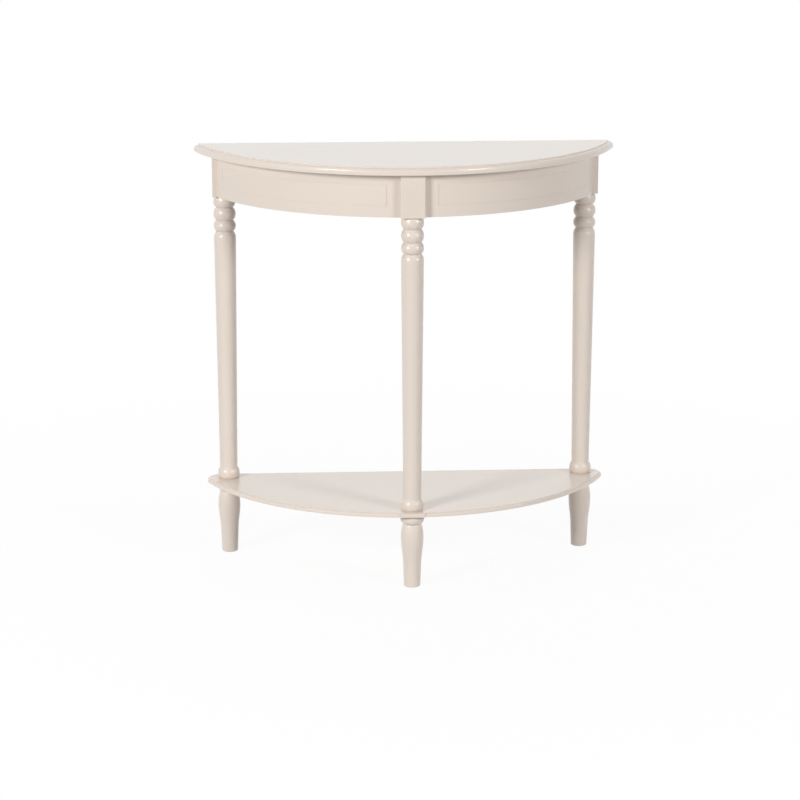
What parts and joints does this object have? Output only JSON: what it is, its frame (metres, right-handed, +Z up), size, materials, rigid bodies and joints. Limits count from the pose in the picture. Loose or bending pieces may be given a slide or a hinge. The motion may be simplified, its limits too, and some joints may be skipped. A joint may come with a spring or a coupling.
{
  "type": "demilune table",
  "caption": "Half-round wall table: moulded top on a curved apron frame, turned legs with beads, and a low half-round shelf clamped above turned feet.",
  "frame": {"origin": "on the floor, under the middle of the rectangle that the top fills seen from above", "axes": "+X along the wall to the right as seen from the room, +Y toward the wall (the straight back edge), +Z up"},
  "size_m": [0.8, 0.3, 0.8],
  "materials": {
    "painted_board": "cream-grey satin paint on fibreboard",
    "painted_wood": "cream-grey satin paint on turned and sawn hardwood",
    "bare_wood": "unpainted planed hardwood",
    "plated_steel": "zinc-plated"
  },
  "bodies": {
    "root": {"table_top": "painted_board", "shelf": "painted_board", "left_apron": "painted_wood", "right_apron": "painted_wood", "back_rail": "painted_wood", "front_leg_block": "painted_wood", "left_leg_block": "painted_wood", "right_leg_block": "painted_wood", "front_leg": "painted_wood", "left_leg": "painted_wood", "right_leg": "painted_wood", "front_foot": "painted_wood", "left_foot": "painted_wood", "right_foot": "painted_wood", "middle_brace": "bare_wood", "left_corner_brace": "bare_wood", "right_corner_brace": "bare_wood", "wood_dowels": "bare_wood", "top_screws": "plated_steel", "threaded_inserts": "plated_steel", "leg_hanger_bolts": "plated_steel", "shelf_hanger_bolts": "plated_steel"}
  },
  "joints": []
}
